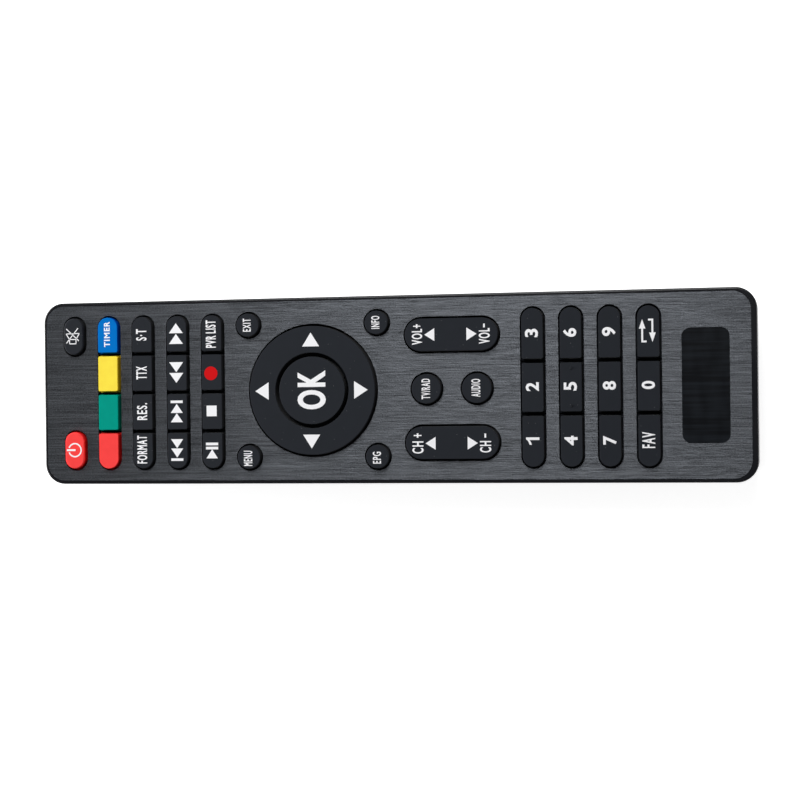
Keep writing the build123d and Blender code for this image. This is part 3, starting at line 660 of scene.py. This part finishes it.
def diode_lens(name):
    """Smoky resin of the infrared diode, with tinned leads behind it."""
    finish = Finish(name)
    lead_length = 2.2 * MM
    leads = finish.axis("Y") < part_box(name)[0].y + lead_length
    depth = finish.cloud(1.2 * MM, detail=1.0)
    resin = finish.mix(depth, (0.10, 0.12, 0.22), (0.16, 0.19, 0.32))
    return finish.surface(
        colour=finish.mix(leads, resin, (0.72, 0.72, 0.70)),
        metallic=leads,
        roughness=0.10 + 0.2 * leads,
        normal=finish.bump(depth, 0.01 * MM, 0.3),
    )


def infrared_glass(name):
    """Deep red, nearly black window that only infrared light passes well."""
    finish = Finish(name)
    flow = finish.cloud(3.0 * MM)
    return finish.surface(
        colour=finish.mix(flow, (0.020, 0.0020, 0.0035), (0.034, 0.0035, 0.0055)),
        roughness=0.09 + 0.05 * flow,
        specular=0.5,
        coat=0.3,
        coat_roughness=0.05,
        normal=finish.bump(flow, 0.01 * MM, 0.3),
    )


def cell_jacket(name, button_side):
    """Foil jacket of a cell: dark band and plus at the button, minus at the flat end."""
    finish = Finish(name + "_jacket")
    button_length = 1.3 * MM
    rim_length = 0.5 * MM
    band_length = 15 * MM
    sign_inset = 4 * MM
    sign_reach = 1.3 * MM
    half_stroke = 0.3 * MM
    low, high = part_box(name)
    button, flat = (high.y, low.y) if button_side > 0 else (low.y, high.y)
    across = abs(finish.axis("X") - (low.x + high.x) / 2)
    from_button = abs(finish.axis("Y") - button)
    from_flat = abs(finish.axis("Y") - flat)
    ends = 1 - (from_button > button_length) * (from_flat > rim_length)
    from_plus = abs(from_button - sign_inset)
    upright = (across < half_stroke) * (from_plus < sign_reach)
    crossbar = (across < sign_reach) * (from_plus < half_stroke)
    plus = upright + crossbar > 0.5
    minus = (across < sign_reach) * (abs(from_flat - sign_inset) < half_stroke)
    foil = finish.cloud(0.4 * MM, (1, 12, 1))
    silver = finish.mix(foil, (0.40, 0.42, 0.45), (0.55, 0.57, 0.60))
    jacket = finish.mix(from_button < band_length, silver, (0.010, 0.035, 0.11))
    signed = finish.mix(plus, jacket, (0.80, 0.80, 0.80))
    signed = finish.mix(minus, signed, (0.02, 0.02, 0.02))
    return finish.surface(
        colour=finish.mix(ends, signed, (0.66, 0.66, 0.65)),
        metallic=0.55 + 0.4 * ends,
        roughness=0.24 + 0.1 * foil,
        coat=0.3,
        normal=finish.bump(foil, 0.004 * MM, 0.4),
    )


def plated_steel(name, colour, roughness):
    """Plated steel with faint drawing lines and dull spots."""
    finish = Finish(name)
    lines = finish.cloud(0.08 * MM, (1, 1, 14))
    spots = finish.contrast(finish.cloud(1.6 * MM), 0.45, 0.75)
    return finish.surface(
        colour=finish.mix(spots, colour, shade(colour, 0.78)),
        metallic=1.0,
        roughness=roughness + 0.12 * spots + 0.06 * lines,
        normal=finish.bump(lines, 0.003 * MM, 0.5),
    )


def set_piece(mesh, name, body, material):
    """Make an object of a finished mesh, with its place in its mesh, and let it ride."""
    piece = bpy.data.objects.new(name, mesh)
    bpy.context.scene.collection.objects.link(piece)
    cover(piece, material)
    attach(piece, body)


def place_mesh(mesh, middle, height):
    """Move a mesh drawn in millimetres about its own middle to its place in metres."""
    place = Matrix.Translation((middle[0] * MM, middle[1] * MM, height))
    mesh.transform(place @ Matrix.Scale(MM, 4))
    same_point = 0.0005 * MM
    welded = bmesh.new()
    welded.from_mesh(mesh)
    bmesh.ops.remove_doubles(welded, verts=welded.verts, dist=same_point)
    bmesh.ops.recalc_face_normals(welded, faces=welded.faces)
    for face in welded.faces:
        face.smooth = False
    welded.to_mesh(mesh)
    welded.free()


def hold(name, curve):
    """Put a curve in the scene for a while, so that Blender works out its shape."""
    holder = bpy.data.objects.new(name, curve)
    bpy.context.scene.collection.objects.link(holder)
    bpy.context.view_layer.update()
    return holder


def word_mesh(words, size, weight, thickness):
    """Words in the built-in letters, drawn out to a size and thickened to a weight."""
    letters = bpy.data.curves.new("letters", "FONT")
    letters.body = words
    letters.space_character = 1.2
    letters.space_word = 0.6
    holder = hold("letters", letters)
    outline = holder.to_curve(bpy.context.evaluated_depsgraph_get()).copy()
    flat = bpy.data.meshes.new_from_object(holder)
    xs = [vertex.co.x for vertex in flat.vertices]
    ys = [vertex.co.y for vertex in flat.vertices]
    middle = Vector((-(min(xs) + max(xs)) / 2, -(min(ys) + max(ys)) / 2, 0))
    scale_x = (size[0] - 2 * weight) / (max(xs) - min(xs))
    scale_y = (size[1] - 2 * weight) / (max(ys) - min(ys))
    bpy.data.objects.remove(holder)
    bpy.data.meshes.remove(flat)
    outline.transform(Matrix.Diagonal((scale_x, scale_y, 1, 1)) @ Matrix.Translation(middle))
    for spline in outline.splines:
        for point in spline.bezier_points:
            point.radius = 1
    outline.resolution_u = 5
    outline.bevel_depth = weight
    outline.bevel_resolution = 0
    holder = hold("outline", outline)
    mesh = bpy.data.meshes.new_from_object(holder)
    bpy.data.objects.remove(holder)
    bpy.data.curves.remove(outline)
    mesh.transform(Matrix.Diagonal((1, 1, thickness / (2 * weight), 1)))
    return mesh


def print_words(context, name, body, words, middle, size, weight):
    """Print words on a key."""
    thickness = context.scene.remote_prints.ink_thickness
    mesh = word_mesh(words, size, weight / MM, thickness / MM)
    place_mesh(mesh, middle, KEY_TOP + thickness / 2)
    set_piece(mesh, name, body, white_ink(context))


class Sign:
    """Flat shapes of one printed sign, drawn in millimetres about its middle."""

    disc_corners = 48
    arc_steps = 40

    def __init__(self):
        self.mesh = bmesh.new()

    def outline(self, *corners):
        """Filled outline through its corners."""
        self.mesh.faces.new([self.mesh.verts.new((*corner, 0)) for corner in corners])

    def stroke(self, start, end, width):
        """Straight stroke with square ends."""
        start, end = Vector(start), Vector(end)
        along = (end - start).normalized()
        side = Vector((-along.y, along.x)) * width / 2
        self.outline(start - side, end - side, end + side, start + side)

    def triangle(self, tip, base, width):
        """Triangle from its tip to the middle of its base."""
        tip, base = Vector(tip), Vector(base)
        along = (base - tip).normalized()
        side = Vector((-along.y, along.x)) * width / 2
        self.outline(tip, base - side, base + side)

    def disc(self, radius):
        """Round dot."""
        bmesh.ops.create_circle(
            self.mesh, cap_ends=True, segments=self.disc_corners, radius=radius
        )

    def arc(self, middle, radius, width, start, turn):
        """Part of a ring, spun from its first edge."""
        ends = [
            self.mesh.verts.new(
                (middle[0] + reach * cos(start), middle[1] + reach * sin(start), 0)
            )
            for reach in (radius - width / 2, radius + width / 2)
        ]
        edge = self.mesh.edges.new(ends)
        bmesh.ops.spin(
            self.mesh,
            geom=[*ends, edge],
            cent=(*middle, 0),
            axis=(0, 0, 1),
            angle=turn,
            steps=self.arc_steps,
            use_merge=False,
        )

    def raise_to(self, thickness):
        """Mesh of the sign, raised into a layer of this thickness in millimetres."""
        raised = bmesh.ops.extrude_face_region(self.mesh, geom=self.mesh.faces[:])
        tops = [item for item in raised["geom"] if isinstance(item, bmesh.types.BMVert)]
        bmesh.ops.translate(self.mesh, verts=tops, vec=(0, 0, thickness))
        mesh = bpy.data.meshes.new("sign")
        self.mesh.to_mesh(mesh)
        self.mesh.free()
        return mesh


def print_sign(context, name, body, sign, ink=None):
    """Print a sign on its key, in white where no other ink is given."""
    thickness = context.scene.remote_prints.ink_thickness
    mesh = sign.raise_to(thickness / MM)
    place_mesh(mesh, SIGN_PLACES[body], KEY_TOP)
    set_piece(mesh, name, body, ink or white_ink(context))


def white_ink(context):
    """The one white ink of all the words, numbers and signs."""
    made = bpy.data.materials.get("white_print")
    return made or printed_ink("white_print", context.scene.remote_prints.ink_colour)


def winding_sign(way):
    """Two arrowheads, one behind the other, that point right (1) or left (-1)."""
    length = 2.6
    height = 3.8
    sign = Sign()
    for start in (-2.7, 0.1):
        tip, base = (start + length, start) if way > 0 else (start, start + length)
        sign.triangle((tip, 0), (base, 0), height)
    return sign


def skipping_sign(way):
    """Two arrowheads that point right (1) or left (-1), and the bar that they run into."""
    length = 2.35
    height = 3.3
    bar_place = 2.48
    bar_width = 0.66
    sign = Sign()
    for start in (-2.85, -0.42):
        sign.triangle((way * (start + length), 0), (way * start, 0), height)
    bar = way * bar_place
    sign.stroke((bar, -height / 2), (bar, height / 2), bar_width)
    return sign


def stop_sign():
    """Square."""
    width = 2.76
    height = 2.72
    sign = Sign()
    sign.stroke((-width / 2, 0), (width / 2, 0), height)
    return sign


def play_pause_sign():
    """Arrowhead beside two bars."""
    tip = 0.30
    base = -2.05
    height = 3.1
    bar_reach = 1.65
    bar_width = 0.7
    sign = Sign()
    sign.triangle((tip, 0), (base, 0), height)
    for bar in (0.62, 1.68):
        sign.stroke((bar, -bar_reach), (bar, bar_reach), bar_width)
    return sign


def record_sign():
    """Dot."""
    radius = 1.78
    sign = Sign()
    sign.disc(radius)
    return sign


def mute_sign():
    """Loudspeaker in thin lines, crossed out twice."""
    width = 0.24
    box = ((-2.0, -0.9), (-2.0, 0.9), (-0.85, 0.9), (-0.85, -0.9), (-2.0, -0.9))
    horn = ((-0.85, 0.9), (0.62, 1.85), (0.72, -1.85), (-0.85, -0.9))
    falling_line = ((-1.85, 1.8), (2.1, -1.5))
    rising_line = ((1.95, 1.8), (-1.25, -1.7))
    sign = Sign()
    for corners in (box, horn, falling_line, rising_line):
        for start, end in zip(corners, corners[1:]):
            sign.stroke(start, end, width)
    return sign


def power_sign():
    """Ring with a gap at the top, and an upright bar in the gap."""
    middle = (0, -0.15)
    radius = 1.72
    ring_width = 0.36
    gap = radians(20)
    bar_bottom = -0.3
    bar_top = 2.1
    bar_width = 0.5
    sign = Sign()
    sign.arc(middle, radius, ring_width, pi / 2 + gap, 2 * (pi - gap))
    sign.stroke((0, bar_bottom), (0, bar_top), bar_width)
    return sign


def recall_sign():
    """Two bent arrows that run past each other, one there and one back."""
    lane = 1.25
    tail = 2.9
    head_base = 0.5
    head_tip = 2.82
    head_width = 1.6
    hook = 2.68
    hook_top = 1.02
    hook_end = 0.2
    width = 0.45
    sign = Sign()
    for way in (1, -1):
        sign.stroke((-tail * way, lane * way), (head_base * way, lane * way), width)
        sign.stroke((-hook * way, hook_top * way), (-hook * way, hook_end * way), width)
        sign.triangle((head_tip * way, lane * way), (head_base * way, lane * way), head_width)
    return sign


def ring_arrows():
    """Four arrowheads that point outwards, a quarter turn apart."""
    tip = 14.85
    base = 11.3
    width = 4.5
    sign = Sign()
    for quarter in range(4):
        direction = Vector((cos(quarter * pi / 2), sin(quarter * pi / 2)))
        sign.triangle(direction * tip, direction * base, width)
    return sign


def rocker_arrows():
    """Two arrowheads that point to the ends of a rocker."""
    tip = 6.68
    base = 4.1
    width = 3.25
    sign = Sign()
    for way in (1, -1):
        sign.triangle((0, way * tip), (0, way * base), width)
    return sign


def plunger_middle(node):
    """Middle of the plunger at the bottom of a key, across and along, in millimetres."""
    foot_slice = 0.05 * MM
    points = [vertex.co for vertex in NODES[node].data.vertices]
    low = min(point.z for point in points)
    foot = [point for point in points if point.z < low + foot_slice]
    return [
        (min(point[n] for point in foot) + max(point[n] for point in foot)) / 2 / MM
        for n in range(2)
    ]


class REMOTE_OT_finish_face(bpy.types.Operator):
    """Brush the face plate and cover the label area"""

    bl_idname = "remote.finish_face"
    bl_label = "Finish the face"

    def execute(self, context):
        finishes = context.scene.remote_finishes
        plate = brushed_metal("brushed_plate", finishes.plate_colour, finishes.streak_strength)
        cover(NODES["face_plate"], plate)
        cover(NODES["label_inlay"], dark_label("label_film"))
        return {"FINISHED"}


class REMOTE_OT_finish_shells(bpy.types.Operator):
    """Give the shells, the battery door and the infrared window their plastics"""

    bl_idname = "remote.finish_shells"
    bl_label = "Finish the shells"

    def execute(self, context):
        colour = context.scene.remote_finishes.shell_colour
        front = moulded_plastic("front_plastic", colour, roughness=0.26, relief=0.002 * MM)
        cover(NODES["front_shell"], front)
        cover(NODES["rear_shell"], moulded_plastic("rear_plastic", colour))
        cover(NODES["battery_door"], moulded_plastic("door_plastic", colour, roughness=0.44))
        cover(NODES["infrared_window"], infrared_glass("window_glass"))
        return {"FINISHED"}


class REMOTE_OT_finish_keys(bpy.types.Operator):
    """Give every key, the ring and the rockers their soft rubber"""

    bl_idname = "remote.finish_keys"
    bl_label = "Finish the keys"

    def execute(self, context):
        finishes = context.scene.remote_finishes
        # Painted shade for the sides of the black keys: their colour at half strength.
        side = shade(finishes.key_colour, 0.5)
        black = soft_rubber("black_rubber", finishes.key_colour, side, finishes.dust)
        for name in BLACK_KEYS:
            cover(NODES[name], black)
        for name, colour in COLOUR_KEYS.items():
            rubber = bpy.data.materials.get(colour + "_rubber")
            if rubber is None:
                top = getattr(finishes, colour)
                # Painted shade for the sides of the coloured keys: a darker, richer copy of the key's colour.
                rubber = soft_rubber(
                    colour + "_rubber", top, painted_side_shade(top), dust=0, specular=0.03, sheen=0.0
                )
            cover(NODES[name], rubber)
        silicone = silicone_sheet("mat_silicone")
        cover(NODES["keypad_mat"], silicone)
        cover(NODES["ring_collar"], silicone)
        return {"FINISHED"}


class REMOTE_OT_finish_circuit(bpy.types.Operator):
    """Finish the circuit board and the parts on it"""

    bl_idname = "remote.finish_circuit"
    bl_label = "Finish the circuit"

    def execute(self, context):
        cover(NODES["circuit_board"], circuit_laminate("laminate"))
        cover(NODES["controller_chip"], chip_body("chip_moulding"))
        cover(NODES["chip_resistors"], silvered_chips("chip_resistors"))
        cover(NODES["ceramic_resonator"], amber_dip("amber_resin"))
        cover(NODES["supply_capacitor"], shrink_sleeve("supply_capacitor"))
        cover(NODES["infrared_led"], diode_lens("infrared_led"))
        return {"FINISHED"}


class REMOTE_OT_finish_power(bpy.types.Operator):
    """Finish the cells, their contacts and the screws"""

    bl_idname = "remote.finish_power"
    bl_label = "Finish the cells and contacts"

    def execute(self, context):
        cover(NODES["battery_left"], cell_jacket("battery_left", 1))
        cover(NODES["battery_right"], cell_jacket("battery_right", -1))
        nickel = plated_steel("nickel_plate", (0.66, 0.65, 0.62), roughness=0.26)
        cover(NODES["contact_springs"], nickel)
        cover(NODES["contact_plates"], nickel)
        zinc = plated_steel("black_zinc", (0.13, 0.13, 0.14), roughness=0.36)
        cover(NODES["shell_screws"], zinc)
        return {"FINISHED"}


class REMOTE_OT_print_words(bpy.types.Operator):
    """Print the words on the keys and the rockers"""

    bl_idname = "remote.print_words"
    bl_label = "Print the words"

    def execute(self, context):
        prints = context.scene.remote_prints
        counts = {}
        for body, words, middle, size in WORDS:
            counts[body] = counts.get(body, 0) + 1
            name = f"word_{body}_{counts[body]}"
            weight = prints.small_weight if body in ROUND_KEYS else prints.word_weight
            print_words(context, name, body, words, middle, size, weight)
        body, words, middle, size = LARGE_WORD
        print_words(context, "word_" + body, body, words, middle, size, prints.large_weight)
        return {"FINISHED"}


class REMOTE_OT_print_numbers(bpy.types.Operator):
    """Print the numbers on their keys"""

    bl_idname = "remote.print_numbers"
    bl_label = "Print the numbers"

    def execute(self, context):
        weight = context.scene.remote_prints.number_weight
        for body, middle, size in NUMBERS:
            digit = body.split("_")[1]
            print_words(context, "number_" + digit, body, digit, middle, size, weight)
        one = Sign()
        one.outline(*ONE_OUTLINE)
        print_sign(context, "number_1", "digit_1_key", one)
        return {"FINISHED"}


class REMOTE_OT_print_playing(bpy.types.Operator):
    """Print the signs for playing, winding and recording"""

    bl_idname = "remote.print_playing"
    bl_label = "Print the playing signs"

    def execute(self, context):
        print_sign(context, "sign_fast_forward_key", "fast_forward_key", winding_sign(1))
        print_sign(context, "sign_rewind_key", "rewind_key", winding_sign(-1))
        print_sign(context, "sign_next_key", "next_key", skipping_sign(1))
        print_sign(context, "sign_previous_key", "previous_key", skipping_sign(-1))
        print_sign(context, "sign_stop", "stop_key", stop_sign())
        print_sign(context, "sign_play_pause", "play_pause_key", play_pause_sign())
        record_colour = context.scene.remote_prints.record_colour
        red = printed_ink("red_print", record_colour, specular=0.08)
        print_sign(context, "sign_record", "record_key", record_sign(), ink=red)
        return {"FINISHED"}


class REMOTE_OT_print_corner_signs(bpy.types.Operator):
    """Print the mute, power and recall signs"""

    bl_idname = "remote.print_corner_signs"
    bl_label = "Print mute, power and recall"

    def execute(self, context):
        print_sign(context, "sign_mute", "mute_key", mute_sign())
        print_sign(context, "sign_power", "power_key", power_sign())
        print_sign(context, "sign_recall", "recall_key", recall_sign())
        return {"FINISHED"}


class REMOTE_OT_print_arrows(bpy.types.Operator):
    """Print the arrows on the ring and the rockers"""

    bl_idname = "remote.print_arrows"
    bl_label = "Print the arrows"

    def execute(self, context):
        print_sign(context, "arrows_ring", "direction_ring", ring_arrows())
        for body in ("volume_rocker", "channel_rocker"):
            print_sign(context, "arrows_" + body, body, rocker_arrows())
        return {"FINISHED"}


class REMOTE_OT_print_board(bpy.types.Operator):
    """Print the carbon contact pads on the board, one under each key"""

    bl_idname = "remote.print_board"
    bl_label = "Print the board"

    def execute(self, context):
        half_gap = 0.15
        radius = 0.72
        width = 1.2
        thickness = 0.01
        pads = Sign()
        for joint in frame["joints"]:
            if not joint["name"].endswith("_press"):
                continue
            across, along = plunger_middle(joint["child"])
            for side in (-1, 1):
                middle = (across + side * half_gap, along)
                pads.arc(middle, radius, width, -side * pi / 2, pi)
        mesh = pads.raise_to(thickness)
        place_mesh(mesh, (0, 0), BOARD_TOP)
        set_piece(mesh, "contact_pads", "housing", carbon_ink("carbon_print"))
        return {"FINISHED"}


def lay_floor(scene, glow):
    """White paper just under the remote that gives off light like a light table."""
    ground = bmesh.new()
    bmesh.ops.create_grid(ground, x_segments=1, y_segments=1, size=FLOOR_REACH)
    bmesh.ops.translate(ground, verts=ground.verts, vec=(0, 0, -FLOOR_DROP))
    mesh = bpy.data.meshes.new("floor")
    ground.to_mesh(mesh)
    ground.free()
    floor = bpy.data.objects.new("floor", mesh)
    scene.collection.objects.link(floor)
    paper = Finish("white_paper")
    tone = paper.cloud(0.4, detail=1.0)
    colour = paper.mix(tone, (0.88, 0.88, 0.88), (0.90, 0.90, 0.90))
    matt = paper.node("ShaderNodeBsdfDiffuse", {}, {"Color": colour})
    light = {"Color": (1, 1, 1), "Strength": glow}
    glowing = paper.node("ShaderNodeEmission", {}, light)
    both = paper.node("ShaderNodeAddShader", {}, {0: matt, 1: glowing})
    paper.node("ShaderNodeOutputMaterial", {}, {"Surface": both})
    cover(floor, paper.material)


def light_room(scene, studio):
    """Even white light from all round, and the softboxes."""
    room = bpy.data.worlds.new("room")
    room.use_nodes = True
    background = room.node_tree.nodes["Background"]
    background.inputs["Color"].default_value = (1, 1, 1, 1)
    background.inputs["Strength"].default_value = studio.room_light
    scene.world = room
    for name, place, size in SOFTBOXES:
        light = bpy.data.lights.new(name, "AREA")
        light.shape = "RECTANGLE"
        light.size, light.size_y = size
        light.energy = getattr(studio, name)
        lamp = bpy.data.objects.new(name, light)
        scene.collection.objects.link(lamp)
        turn = (-Vector(place)).to_track_quat("-Z", "Y").to_matrix().to_4x4()
        lamp.matrix_world = Matrix.Translation(place) @ turn


def set_camera(scene, studio):
    """Camera at the photograph's place, turned as it was."""
    lens = bpy.data.cameras.new("photograph_view")
    lens.sensor_fit = "HORIZONTAL"
    lens.sensor_width = 36
    lens.lens = studio.lens
    lens.clip_start = 0.01
    camera = bpy.data.objects.new("photograph_view", lens)
    scene.collection.objects.link(camera)
    right = Vector(PICTURE_RIGHT).normalized()
    back = Vector(PICTURE_BACK).normalized()
    up = back.cross(right).normalized()
    turn = Matrix((right, up, back)).transposed().to_4x4()
    camera.matrix_world = Matrix.Translation(studio.camera_place) @ turn
    scene.camera = camera


class REMOTE_OT_build_studio(bpy.types.Operator):
    """Set up the floor, the lights, the room and the camera"""

    bl_idname = "remote.build_studio"
    bl_label = "Build the studio"

    def execute(self, context):
        studio = context.scene.remote_studio
        lay_floor(context.scene, studio.floor_glow)
        light_room(context.scene, studio)
        set_camera(context.scene, studio)
        context.scene.view_settings.view_transform = "Standard"
        return {"FINISHED"}


STEPS = (
    REMOTE_OT_finish_face,
    REMOTE_OT_finish_shells,
    REMOTE_OT_finish_keys,
    REMOTE_OT_finish_circuit,
    REMOTE_OT_finish_power,
    REMOTE_OT_print_words,
    REMOTE_OT_print_numbers,
    REMOTE_OT_print_playing,
    REMOTE_OT_print_corner_signs,
    REMOTE_OT_print_arrows,
    REMOTE_OT_print_board,
    REMOTE_OT_build_studio,
)
GROUPS = {
    "remote_finishes": RemoteFinishes,
    "remote_prints": RemotePrints,
    "remote_studio": RemoteStudio,
}


class REMOTE_PT_looks(bpy.types.Panel):
    """Settings and steps of the remote control's looks"""

    bl_label = "Remote control"
    bl_idname = "REMOTE_PT_looks"
    bl_space_type = "VIEW_3D"
    bl_region_type = "UI"
    bl_category = "Remote"

    def draw(self, context):
        layout = self.layout
        for step in STEPS:
            layout.operator(step.bl_idname)
        for group in GROUPS:
            settings = getattr(context.scene, group)
            column = layout.column(align=True)
            for name in settings.__annotations__:
                column.prop(settings, name)


def register():
    for part in (*GROUPS.values(), *STEPS, REMOTE_PT_looks):
        bpy.utils.register_class(part)
    for name, group in GROUPS.items():
        setattr(bpy.types.Scene, name, PointerProperty(type=group))


def unregister():
    for name in GROUPS:
        delattr(bpy.types.Scene, name)
    for part in reversed((*GROUPS.values(), *STEPS, REMOTE_PT_looks)):
        bpy.utils.unregister_class(part)


def main():
    """Register the steps and run every step in order."""
    register()
    for step in STEPS:
        group, name = step.bl_idname.split(".")
        getattr(getattr(bpy.ops, group), name)()


if __name__ == "__main__":
    main()
